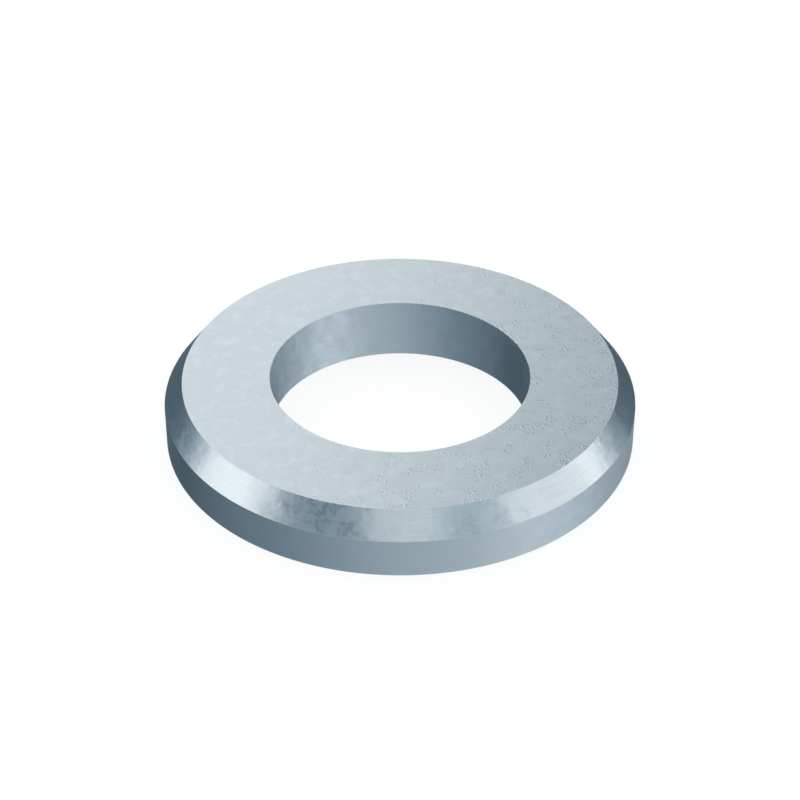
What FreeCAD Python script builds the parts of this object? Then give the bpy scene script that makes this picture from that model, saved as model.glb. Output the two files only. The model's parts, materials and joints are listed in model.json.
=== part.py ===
"""Plain washer for a 6 mm screw, with a chamfer round the outer edge of its top face.

It is one ring of steel: stamped out of sheet, chamfered, tumbled and then zinc plated.
The origin is the middle of the flat bearing face, and +Z runs up through the bore to the
chamfered face. Lengths are in millimetres and angles in degrees.
"""

import FreeCAD, Part
import math
import os
import Sketcher

# The driving sizes: each one's name, its value and what it measures. A washer of this kind
# is made to limits, and each value with limits is the middle of them.
SIZES = (
    ("outer_diameter", 11.79, "across the side: 11.57 to 12.00"),
    ("bore_diameter", 6.50, "the hole that the screw goes through: 6.40 to 6.62"),
    ("thickness", 1.60, "from the bearing face to the top face: 1.40 to 1.80"),
    ("chamfer_height", 0.60, "how far the chamfer comes down the side: 0.40 to 0.80"),
    ("chamfer_angle", 37.5, "between the chamfer and the side: 30 to 45"),
    ("edge_break", 0.02, "the radius that tumbling leaves on each sharp edge"),
)

# Two lengths that differ by less than this are the same length.
SAME_LENGTH = 1e-6


def add_sizes(doc):
    """Put the driving sizes in a sheet, one to a row, each cell named by its alias."""
    sheet = doc.addObject("Spreadsheet::Sheet", "sizes")
    for row, (name, value, meaning) in enumerate(SIZES, start=1):
        sheet.set(f"A{row}", name)
        sheet.set(f"B{row}", str(value))
        sheet.set(f"C{row}", meaning)
        sheet.setAlias(f"B{row}", name)
    doc.recompute()
    return sheet


def stamp_blank(body):
    """The blank as it leaves the press: a flat ring that stands on the bearing face."""
    outline = body.newObject("Sketcher::SketchObject", "blank_outline")
    ground = next(plane for plane in body.Origin.OriginFeatures if plane.Role == "XY_Plane")
    outline.AttachmentSupport = [(ground, "")]
    outline.MapMode = "FlatFace"

    # A point of a sketch is given by its line's number and by which of the line's points it is.
    sketch_origin = (-1, 1)
    upwards = FreeCAD.Vector(0, 0, 1)
    for name, rough_radius in (("outer_diameter", 6.0), ("bore_diameter", 3.0)):
        circle = outline.addGeometry(Part.Circle(FreeCAD.Vector(), upwards, rough_radius))
        middle = (circle, 3)
        outline.addConstraint(Sketcher.Constraint("Coincident", *middle, *sketch_origin))
        size = outline.addConstraint(Sketcher.Constraint("Diameter", circle, 2 * rough_radius))
        outline.renameConstraint(size, name)
        outline.setExpression(f"Constraints.{name}", f"sizes.{name}")

    blank = body.newObject("PartDesign::Pad", "blank")
    blank.Profile = outline
    blank.setExpression("Length", "sizes.thickness")
    body.Document.recompute()
    return blank


def rim(solid, radius, height):
    """The name of the solid's round edge that has this radius and lies at this height."""
    for number, edge in enumerate(solid.Shape.Edges, start=1):
        curve = edge.Curve
        if not isinstance(curve, Part.Circle):
            continue
        if math.hypot(curve.Radius - radius, curve.Center.z - height) < SAME_LENGTH:
            return f"Edge{number}"
    raise ValueError(f"{solid.Name} has no rim of radius {radius} at height {height}")


def cut_chamfer(body, blank, sizes):
    """The chamfer round the outer edge of the top face."""
    chamfer = body.newObject("PartDesign::Chamfer", "chamfer")
    chamfer.Base = (blank, [rim(blank, sizes.outer_diameter / 2, sizes.thickness)])
    chamfer.ChamferType = "Distance and Angle"
    chamfer.setExpression("Size", "sizes.chamfer_height")
    chamfer.setExpression("Angle", "sizes.chamfer_angle * 1 deg")
    body.Document.recompute()
    return chamfer


def tumble_edges(body, chamfered, sizes):
    """The small radius that tumbling leaves on all five sharp edges."""
    outer_radius = sizes.outer_diameter / 2
    bore_radius = sizes.bore_diameter / 2
    chamfer_width = sizes.chamfer_height * math.tan(math.radians(sizes.chamfer_angle))
    sharp_edges = (
        rim(chamfered, bore_radius, 0),
        rim(chamfered, outer_radius, 0),
        rim(chamfered, outer_radius, sizes.thickness - sizes.chamfer_height),
        rim(chamfered, outer_radius - chamfer_width, sizes.thickness),
        rim(chamfered, bore_radius, sizes.thickness),
    )
    tumbled = body.newObject("PartDesign::Fillet", "tumbled_edges")
    tumbled.Base = (chamfered, list(sharp_edges))
    tumbled.setExpression("Radius", "sizes.edge_break")
    body.Document.recompute()


def add_washer(doc, sizes):
    """The washer: blank, chamfer and tumbled edges, in the order in which they are made."""
    washer = doc.addObject("PartDesign::Body", "chamfered_washer")
    washer.Label = "chamfered_washer"
    blank = stamp_blank(washer)
    chamfered = cut_chamfer(washer, blank, sizes)
    tumble_edges(washer, chamfered, sizes)
    washer.Placement = FreeCAD.Placement()
    return washer


def check(doc, pieces):
    """Stop unless every object of the document and every piece's solid came out sound."""
    failed = [thing.Name for thing in doc.Objects if {"Invalid", "Error"} & set(thing.State)]
    if failed:
        raise RuntimeError(f"these objects failed: {failed}")
    for piece in pieces:
        if piece.Shape.isNull() or not piece.Shape.isValid():
            raise RuntimeError(f"{piece.Label} has no sound solid")


def write(pieces):
    """Write each piece's solid to a file with the piece's own name."""
    os.makedirs("parts", exist_ok=True)
    for piece in pieces:
        piece.Shape.exportStep(f"parts/{piece.Label}.step")
        print(f"{piece.Label}: {piece.Shape.Volume:.3f} cubic millimetres")


document = FreeCAD.newDocument("washer")
pieces = [add_washer(document, add_sizes(document))]
document.recompute()
check(document, pieces)
write(pieces)
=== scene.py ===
import json
import math

import bpy
import numpy as np
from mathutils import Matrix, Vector, noise


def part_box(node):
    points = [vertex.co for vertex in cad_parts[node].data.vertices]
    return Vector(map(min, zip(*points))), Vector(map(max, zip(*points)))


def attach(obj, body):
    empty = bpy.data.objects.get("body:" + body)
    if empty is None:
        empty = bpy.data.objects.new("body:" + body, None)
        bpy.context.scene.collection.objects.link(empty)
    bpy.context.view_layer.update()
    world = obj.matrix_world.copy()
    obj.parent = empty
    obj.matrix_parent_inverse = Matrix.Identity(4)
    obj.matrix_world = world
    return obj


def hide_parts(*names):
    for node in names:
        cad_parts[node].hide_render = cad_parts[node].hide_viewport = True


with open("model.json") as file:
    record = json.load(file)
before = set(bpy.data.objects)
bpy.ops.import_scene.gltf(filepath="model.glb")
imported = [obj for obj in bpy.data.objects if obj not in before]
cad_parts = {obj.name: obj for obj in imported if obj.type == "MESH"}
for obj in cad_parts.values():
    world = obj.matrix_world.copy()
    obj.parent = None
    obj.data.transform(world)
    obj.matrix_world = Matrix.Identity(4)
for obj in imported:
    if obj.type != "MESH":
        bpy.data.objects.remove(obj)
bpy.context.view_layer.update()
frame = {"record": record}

# The washer is one ring, stamped out of steel sheet and chamfered round the outer edge of its
# top face. It has been tumbled in a barrel, which broke its sharp edges, and then zinc plated.
# It lies on its flat bearing face.

mm = 0.001
low_corner, high_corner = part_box("chamfered_washer")
outer_radius = (high_corner.x - low_corner.x) / 2
thickness = high_corner.z - low_corner.z
bore = next(mount for mount in frame["record"]["mounts"] if mount["name"] == "bore")
bore_radius = bore["dims"]["r_mm"] * mm
chamfer_height = 0.60 * mm
chamfer_angle = math.radians(37.5)
top_rim_radius = outer_radius - chamfer_height * math.tan(chamfer_angle)
edge_break = 0.007 * mm

# The section's corners as (radius, height), and of the flat that follows each of them, which
# of the four finishes it has and its number of rows of faces.
rolled_face, sheared_side, turned_chamfer, punched_bore = range(4)
corners_and_flats = (
    (Vector((bore_radius, 0)), rolled_face, 4),
    (Vector((outer_radius, 0)), sheared_side, 10),
    (Vector((outer_radius, thickness - chamfer_height)), turned_chamfer, 10),
    (Vector((top_rim_radius, thickness)), rolled_face, 20),
    (Vector((bore_radius, thickness)), punched_bore, 12),
)


def broken_edge(before, corner, after, steps=3):
    """The small arc that takes the sharpness off one corner of the section."""
    to_before = (before - corner).normalized()
    to_after = (after - corner).normalized()
    half_angle = to_before.angle(to_after) / 2
    centre = corner + (to_before + to_after).normalized() * (edge_break / math.sin(half_angle))
    reach = edge_break / math.tan(half_angle)
    first = (corner + to_before * reach - centre).normalized()
    last = (corner + to_after * reach - centre).normalized()
    return [centre + edge_break * first.slerp(last, step / steps) for step in range(steps + 1)]


def washer_section():
    """The section's outline as (radius, height) points, and the finish that follows each point."""
    corners = [corner for corner, _, _ in corners_and_flats]
    arcs = [
        broken_edge(corners[i - 1], corner, corners[(i + 1) % len(corners)])
        for i, corner in enumerate(corners)
    ]
    outline, finishes = [], []
    for i, (_, finish, rows) in enumerate(corners_and_flats):
        start, end = arcs[i][-1], arcs[(i + 1) % len(arcs)][0]
        beside_arc = edge_break / (end - start).length
        outline += arcs[i]
        outline += [start.lerp(end, beside_arc)]
        outline += [start.lerp(end, row / rows) for row in range(1, rows)]
        outline += [start.lerp(end, 1 - beside_arc)]
        finishes += [finish] * (len(outline) - len(finishes))
    return outline, finishes


def nicked_rims(radius, height, angles):
    """How far small nicks push each point of the top face's two rims back into the metal."""
    deepest = 0.035 * mm
    nicks_per_length = 15 / mm
    rim_reach = 4 * edge_break
    turns = np.radians((0, 40, 75, 100, 280, 330, 345))
    nicked_share = np.interp(angles, turns, (1, 1, 0.5, 0, 0, 0.15, 1))
    push = np.zeros((len(radius), len(angles)))
    for rim_radius, inwards in ((bore_radius, 1), (top_rim_radius, -1)):
        spots = [
            Vector((math.cos(angle), math.sin(angle), 0)) * rim_radius * nicks_per_length
            for angle in angles
        ]
        nicks = np.array([max(0.0, noise.noise(spot)) for spot in spots])
        at_rim = np.hypot(radius - rim_radius, height - thickness) < rim_reach
        push[at_rim] = inwards * deepest * nicked_share * nicks
    return push


def turned_ring(name, outline, finishes, around):
    """A closed ring made by turning the section's outline about the Z axis."""
    angles = np.arange(around) * (2 * math.pi / around)
    radius, height = np.array(outline).T
    radius_there = radius[:, None] + nicked_rims(radius, height, angles)
    points = np.stack([
        radius_there * np.cos(angles),
        radius_there * np.sin(angles),
        np.outer(height, np.ones(around)),
    ], axis=-1)
    ring = np.arange(points.size // 3).reshape(len(outline), around)
    beside = np.roll(ring, -1, axis=1)
    faces = np.stack([
        ring,
        beside,
        np.roll(beside, -1, axis=0),
        np.roll(ring, -1, axis=0),
    ], axis=-1)
    mesh = bpy.data.meshes.new(name)
    mesh.from_pydata(points.reshape(-1, 3).tolist(), [], faces.reshape(-1, 4).tolist())
    mesh.shade_smooth()
    mesh.polygons.foreach_set("material_index", np.repeat(finishes, around))
    piece = bpy.data.objects.new(name, mesh)
    bpy.context.scene.collection.objects.link(piece)
    return piece


washer = turned_ring("washer", *washer_section(), around=1200)


class Wire:
    """A shader socket that can be written into sums, so that 1 - mask adds the Math node for it."""

    def __init__(self, socket):
        self.socket = socket
        self.tree = socket.id_data

    @staticmethod
    def node(tree, kind, settings=(), inputs=(), output=0):
        """Add a node: first its settings, then its inputs, each of them a value or a wire."""
        made = tree.nodes.new("ShaderNode" + kind)
        for name, value in dict(settings).items():
            if name == "stops":
                Wire.fill_ramp(made.color_ramp, value)
            else:
                setattr(made, name, value)
        for name, value in dict(inputs).items():
            if isinstance(value, Wire):
                tree.links.new(value.socket, made.inputs[name])
            else:
                made.inputs[name].default_value = value
        return Wire(made.outputs[output]) if made.outputs else made

    @staticmethod
    def fill_ramp(ramp, stops):
        """Give a colour ramp these stops: (place, colour) or (place, share) pairs."""
        while len(ramp.elements) < len(stops):
            ramp.elements.new(1.0)
        for element, (place, value) in zip(ramp.elements, stops):
            colour = value if isinstance(value, tuple) else (value, value, value)
            element.position = place
            element.color = (*colour, 1)

    @staticmethod
    def maths(operation, *values):
        tree = next(value for value in values if isinstance(value, Wire)).tree
        return Wire.node(tree, "Math", {"operation": operation}, enumerate(values))

    @staticmethod
    def vectors(operation, first, second=None, output=0):
        """Vector Math, which also makes a colour lighter or darker."""
        values = {0: first}
        if second is not None:
            values["Scale" if operation == "SCALE" else 1] = second
        tree = next(value for value in values.values() if isinstance(value, Wire)).tree
        return Wire.node(tree, "VectorMath", {"operation": operation}, values, output)

    @staticmethod
    def mix(share, first, second):
        """The first colour, with this share of it turned into the second."""
        # A Mix node has its colours in the sockets 6 and 7, and the result in the output 2.
        settings = {"data_type": "RGBA"}
        return Wire.node(share.tree, "Mix", settings, {0: share, 6: first, 7: (*second, 1)}, 2)

    def __add__(self, other):
        return Wire.maths("ADD", self, other)

    def __radd__(self, other):
        return Wire.maths("ADD", other, self)

    def __sub__(self, other):
        return Wire.maths("SUBTRACT", self, other)

    def __rsub__(self, other):
        return Wire.maths("SUBTRACT", other, self)

    def __mul__(self, other):
        return Wire.maths("MULTIPLY", self, other)

    def __rmul__(self, other):
        return Wire.maths("MULTIPLY", other, self)


def new_material(name):
    """A material, and its tree of nodes, which is still empty."""
    material = bpy.data.materials.new(name)
    material.use_nodes = True
    material.node_tree.nodes.clear()
    return material, material.node_tree


def by_direction(place, stops):
    """What goes round the Z axis: (degrees, share or colour), 0 to the right and 90 behind."""
    turn = Wire.node(place.tree, "TexGradient", {"gradient_type": "RADIAL"}, {"Vector": place}, "Fac")
    turns = [(0.5 + degrees / 360, value) for degrees, value in stops]
    return Wire.node(place.tree, "ValToRGB", {"stops": turns}, {"Fac": turn})


def mottling(place, per_mm, detail=2, distortion=0.0):
    """Soft spots between 0 and 1, about so many to a millimetre."""
    return Wire.node(place.tree, "TexNoise", {}, {
        "Vector": place, "Scale": per_mm, "Detail": detail, "Distortion": distortion,
    })


def step(value, low, high):
    """Softly from 0 at low to 1 at high."""
    return Wire.node(value.tree, "MapRange", {"interpolation_type": "SMOOTHSTEP"}, {
        "Value": value, "From Min": low, "From Max": high,
    })


def streaking(place, round_pitch, height_pitch):
    """Tool streaks: so many to the radian round the washer, and so many to a millimetre of height."""
    outward = Wire.vectors("NORMALIZE", Wire.vectors("MULTIPLY", place, (1, 1, 0)))
    outward = Wire.vectors("SCALE", outward, round_pitch)
    upward = Wire.vectors("MULTIPLY", place, (0, 0, height_pitch))
    return mottling(Wire.vectors("ADD", outward, upward), 1.0, detail=4)


def pitting(place, amount):
    """Fine pits in clusters, densest by the rim, and painted highlights beside them, all on one side.
    """
    pits_per_mm, clusters_per_mm = 17, 2.4
    rim = top_rim_radius / mm
    denser_from, densest_from = rim - 1.3, rim - 0.25
    # The painted highlights sit this far to one side of every pit, on the same side for all.
    painted_highlight_offset = (0.035, 0.02, 0)
    radius = Wire.vectors("LENGTH", Wire.vectors("MULTIPLY", place, (1, 1, 0)), output="Value")
    gathered = mottling(place, clusters_per_mm) + step(radius, denser_from, rim) * 0.03
    clusters = (step(gathered, 0.47, 0.63) + step(radius, densest_from, rim) * 0.4) * amount
    beside = Wire.vectors("ADD", place, painted_highlight_offset)
    pit = step(mottling(place, pits_per_mm, detail=4), 0.54, 0.60) * clusters
    painted_highlight = step(mottling(beside, pits_per_mm, detail=4), 0.57, 0.62) * clusters
    return pit, painted_highlight, clusters


def staining(place, amount):
    """Dull grey stains in patches, each with a fine darker grain."""
    patch = step(mottling(place, 2.4, 3, 0.4), 0.45, 0.60) * amount
    grain = step(mottling(place, 7, 5, 0.6), 0.42, 0.62)
    return patch * (grain + 0.25)


zinc_colour = (0.63, 0.71, 0.755)
# Stains and the painted shade in the pits both darken towards this colour.
stain_and_pit_shade_colour = (0.20, 0.29, 0.35)
zinc_roughness = 0.28


def plating(name, swell, where, pits=0, veins=0, stain=0, clouds=0, streaks=0, pitch=None):
    """The zinc on one kind of face.

    The swell and the pits are depths in millimetres, and the other marks are shares of the tone.
    The pits, stains and clouds come and go round the washer as where says: (degrees, share).
    """
    streak_depth = 0.005
    pit_painted_shade = 0.66
    painted_highlight_strength = 0.30
    material, tree = new_material(name)
    place = Wire.vectors("SCALE", Wire.node(tree, "TexCoord", output="Object"), 1 / mm)
    amount = by_direction(place, where)
    relief = mottling(place, 1.9) * swell
    tone = 1.0 + (mottling(place, 1.6, detail=1) - 0.5) * 0.04
    stain_and_pit_shade = 0
    if streaks:
        streak = streaking(place, *pitch)
        relief = relief + streak * streaks * streak_depth
        tone = tone + (streak - 0.5) * streaks
    if pits:
        pit, painted_highlight, clusters = pitting(place, amount)
        relief = relief - pit * pits
        # Painted shade darkens the pits, and painted highlights lighten one side of each.
        stain_and_pit_shade = stain_and_pit_shade + pit * amount * pit_painted_shade
        tone = tone + painted_highlight * painted_highlight_strength - clusters * 0.01
    if veins:
        tone = tone + step(mottling(place, 3.2, 2, 0.6), 0.50, 0.66) * veins
    if stain:
        stain_and_pit_shade = stain_and_pit_shade + staining(place, amount) * stain
    if clouds:
        tone = tone + (mottling(place, 3.0, 2, 0.6) - 0.4) * amount * clouds
    colour = Wire.vectors("SCALE", zinc_colour, tone)
    if pits or stain:
        colour = Wire.mix(stain_and_pit_shade, colour, stain_and_pit_shade_colour)
    surface = Wire.node(tree, "BsdfPrincipled", {}, {
        "Base Color": colour,
        "Metallic": 1.0,
        "Roughness": zinc_roughness,
        "Normal": Wire.node(tree, "Bump", {}, {"Height": relief, "Strength": 1.0, "Distance": mm}),
    })
    Wire.node(tree, "OutputMaterial", {}, {"Surface": surface})
    return material


# The bearing face and the top face are the rolled sheet's own skin, faintly veined and pitted,
# with painted shade in the pits and painted highlights beside them.
# The sheared side and the punched bore have a cloudy bloom, and the turned chamfer has stains
# and fine streaks round it. The materials come in the order of the finishes' numbers.
washer.data.materials.append(plating(
    "plated_rolled_face", swell=0.004, pits=0.0007, veins=0.055,
    where=((-180, 0.2), (-150, 0.25), (-120, 0.5), (-95, 0.7), (-60, 0.9), (-30, 1), (20, 1),
           (60, 0.7), (110, 0.3), (180, 0.2)),
))
washer.data.materials.append(plating(
    "plated_sheared_side", swell=0.003, clouds=0.35,
    where=((-180, 0.1), (-75, 0.1), (-45, 0.8), (0, 1), (180, 0.3)),
))
washer.data.materials.append(plating(
    "plated_turned_chamfer", swell=0.014, stain=0.44, streaks=0.2, pitch=(7, 25),
    where=((-175, 0), (-160, 0.6), (-150, 0.4), (-146, 0), (-128, 0), (-120, 0.6), (-110, 1),
           (-98, 0.7), (-92, 0.1), (-84, 0.2), (-76, 0.4), (-66, 0.35), (-57, 0.25), (-48, 0.05),
           (-40, 0), (-34, 0.1), (-28, 0.6), (-22, 0.5), (-10, 0.4), (0, 0.2)),
))
washer.data.materials.append(plating(
    "plated_punched_bore", swell=0.004, clouds=0.5, streaks=0.07, pitch=(60, 0.8),
    where=((0, 0.5), (60, 0.5), (80, 0.2), (100, 0.2), (120, 1), (180, 1)),
))
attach(washer, "root")
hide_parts("chamfered_washer")

# The floor is the wide matt sheet that the washer lies on. Most of its white is a glow that is
# seen directly and lights nothing, and the rest is its own pale grey, which keeps the shadow.

floor_half_width = 6.0
floor_gap = 0.001 * mm
floor_colour = (0.25, 0.25, 0.25, 1)
floor_glow = 0.8


def seen_directly(tree):
    """1 where the camera, a reflection or a clear body looks at the surface, and else 0."""
    rays = ("Is Camera Ray", "Is Glossy Ray", "Is Transmission Ray")
    camera_ray, glossy_ray, clear_ray = (Wire.node(tree, "LightPath", output=ray) for ray in rays)
    return camera_ray + glossy_ray + clear_ray


def flat_sheet(name, half_width, half_height):
    """A flat sheet in its own XY plane, which faces up its own Z axis."""
    corners = [(x * half_width, y * half_height, 0) for x, y in ((-1, -1), (1, -1), (1, 1), (-1, 1))]
    mesh = bpy.data.meshes.new(name)
    mesh.from_pydata(corners, [], [(0, 1, 2, 3)])
    sheet = bpy.data.objects.new(name, mesh)
    bpy.context.scene.collection.objects.link(sheet)
    return sheet


floor = flat_sheet("floor", floor_half_width, floor_half_width)
floor.location.z = -floor_gap
white, tree = new_material("white_card")
matt = Wire.node(tree, "BsdfDiffuse", {}, {"Color": floor_colour})
glow = Wire.node(tree, "Emission", {}, {"Strength": seen_directly(tree) * floor_glow})
both = Wire.node(tree, "AddShader", {}, {0: matt, 1: glow})
Wire.node(tree, "OutputMaterial", {}, {"Surface": both})
floor.data.materials.append(white)

# The studio is a tent of white cloth round the washer, lit evenly from outside. Two softboxes
# stand in it, to the left and to the right, and are brighter than its walls.

tent = bpy.data.worlds.new("white_tent")
bpy.context.scene.world = tent
tent.use_nodes = True
tree = tent.node_tree
tree.nodes.clear()
walls = Wire.node(tree, "Background", {}, {"Color": (1, 1, 1, 1), "Strength": 1.0})
Wire.node(tree, "OutputWorld", {}, {"Surface": walls})

lamp_distance = 1.0
lamp_colour = (1.0, 0.89, 0.84)


def place_round(thing, azimuth, elevation, distance):
    """Face the washer from there: azimuth 0 is straight behind it, and 90 is to its right."""
    turn, rise = math.radians(azimuth), math.radians(elevation)
    away = Vector((math.sin(turn) * math.cos(rise), math.cos(turn) * math.cos(rise), math.sin(rise)))
    thing.location = away * distance
    thing.rotation_euler = away.to_track_quat("Z", "Y").to_euler()


def width_at(distance, degrees):
    """How wide a thing is that takes up this angle at this distance."""
    return 2 * distance * math.tan(math.radians(degrees / 2))


def softbox(name, azimuth, elevation, width, height, radiance):
    """A soft lamp, with its place and its size in degrees, as the washer sees it."""
    light = bpy.data.lights.new(name, "AREA")
    light.shape = "RECTANGLE"
    light.size = width_at(lamp_distance, width)
    light.size_y = width_at(lamp_distance, height)
    light.energy = radiance * math.pi * light.size * light.size_y
    light.color = lamp_colour
    lamp = bpy.data.objects.new(name, light)
    bpy.context.scene.collection.objects.link(lamp)
    place_round(lamp, azimuth, elevation, lamp_distance)


softbox("left_softbox", azimuth=-95, elevation=20, width=26, height=34, radiance=0.37)
softbox("right_softbox", azimuth=80.5, elevation=16, width=12, height=30, radiance=0.49)

# Matt cards, mostly slate grey, stand round the washer in the tent, and the low one close behind
# it. The camera doesn't see them. They give the metal its dark tones, as a photographer's do.

card_distance = 1.5
low_card_distance = 0.07


def standing_card(name, azimuth, elevation, width, height, colour, distance=card_distance):
    """A card that stands in the tent, with its place and its size in degrees too."""
    card = flat_sheet(name, width_at(distance, width) / 2, width_at(distance, height) / 2)
    place_round(card, azimuth, elevation, distance)
    material, tree = new_material(name)
    matt = Wire.node(tree, "BsdfDiffuse", {}, {"Color": (*colour, 1)})
    Wire.node(tree, "OutputMaterial", {}, {"Surface": matt})
    card.data.materials.append(material)
    card.visible_camera = False


# Each card's name, azimuth, elevation, width, height and colour.
standing_card("front_left_card", -142.5, 33, 43, 34, (0.215, 0.305, 0.37))
standing_card("front_card", -176, 34, 22, 32, (0.83, 0.84, 0.85))
standing_card("front_right_card", 146.5, 34, 27, 32, (0.465, 0.56, 0.61))
standing_card("back_left_card", -46, -2, 56, 28, (0.07, 0.115, 0.15))
standing_card("left_card", -63.5, 14, 23, 16, (0.38, 0.53, 0.63))
standing_card("back_low_card", 24, -17, 56, 20, (0.10, 0.148, 0.18), low_card_distance)
standing_card("back_right_card", 37, -6, 40, 28, (0.075, 0.125, 0.16))
standing_card("right_card", 61.5, -2, 9, 36, (0.26, 0.345, 0.395))
standing_card("right_edge_card", 70.5, -2, 9, 36, (0.52, 0.60, 0.64))
standing_card("back_card", 18.8, 43, 27, 32, (0.48, 0.51, 0.54))

# The deep card is a matt slate sheet, pale towards its front right, that lies far under the floor.
# The metal shows it instead of the white floor, which is hidden from the metal here on purpose,
# because the photograph's metal doesn't show the floor either. That departs from the rule that
# metal shows the floor, because the photograph's doesn't: see report.md.

deep_card_half_width = 120 * mm
deep_card_depth = 30 * mm

# Its colour towards each direction, in degrees: 0 is the washer's right, and 90 is behind it.
deep_card_colours = (
    (-180, (0.15, 0.205, 0.245)),
    (-150, (0.21, 0.28, 0.33)),
    (-125, (0.30, 0.37, 0.42)),
    (-95, (0.47, 0.53, 0.58)),
    (-60, (0.58, 0.63, 0.66)),
    (-25, (0.80, 0.83, 0.87)),
    (-10, (0.75, 0.80, 0.84)),
    (20, (0.49, 0.54, 0.58)),
    (55, (0.33, 0.39, 0.43)),
    (80, (0.12, 0.17, 0.20)),
    (120, (0.09, 0.13, 0.16)),
    (150, (0.085, 0.12, 0.15)),
    (180, (0.15, 0.205, 0.245)),
)

deep_card = flat_sheet("deep_card", deep_card_half_width, deep_card_half_width)
deep_card.location.z = -deep_card_depth
slate, tree = new_material("deep_card")
slate_colour = by_direction(Wire.node(tree, "TexCoord", output="Object"), deep_card_colours)
matt = Wire.node(tree, "BsdfDiffuse", {}, {"Color": slate_colour})
Wire.node(tree, "OutputMaterial", {}, {"Surface": matt})
deep_card.data.materials.append(slate)
floor.visible_glossy = False
floor.visible_diffuse = False

# The camera stands in front of the washer and looks down on it through a long lens. Its height,
# its distance and the point that it looks at were fitted to the washer's outlines.

camera_lens = 100
film_width = 36
nearest_seen = 1 * mm
view_elevation = math.radians(35.55)
view_distance = 57.35 * mm
looked_at = Vector((0, 1.12, 0)) * mm

camera = bpy.data.objects.new("camera", bpy.data.cameras.new("camera"))
camera.data.lens = camera_lens
camera.data.sensor_width = film_width
camera.data.clip_start = nearest_seen
backwards = Vector((0, -math.cos(view_elevation), math.sin(view_elevation)))
camera.location = looked_at + view_distance * backwards
camera.rotation_euler = (math.pi / 2 - view_elevation, 0, 0)
bpy.context.scene.collection.objects.link(camera)
bpy.context.scene.camera = camera
bpy.context.scene.view_settings.view_transform = "Standard"
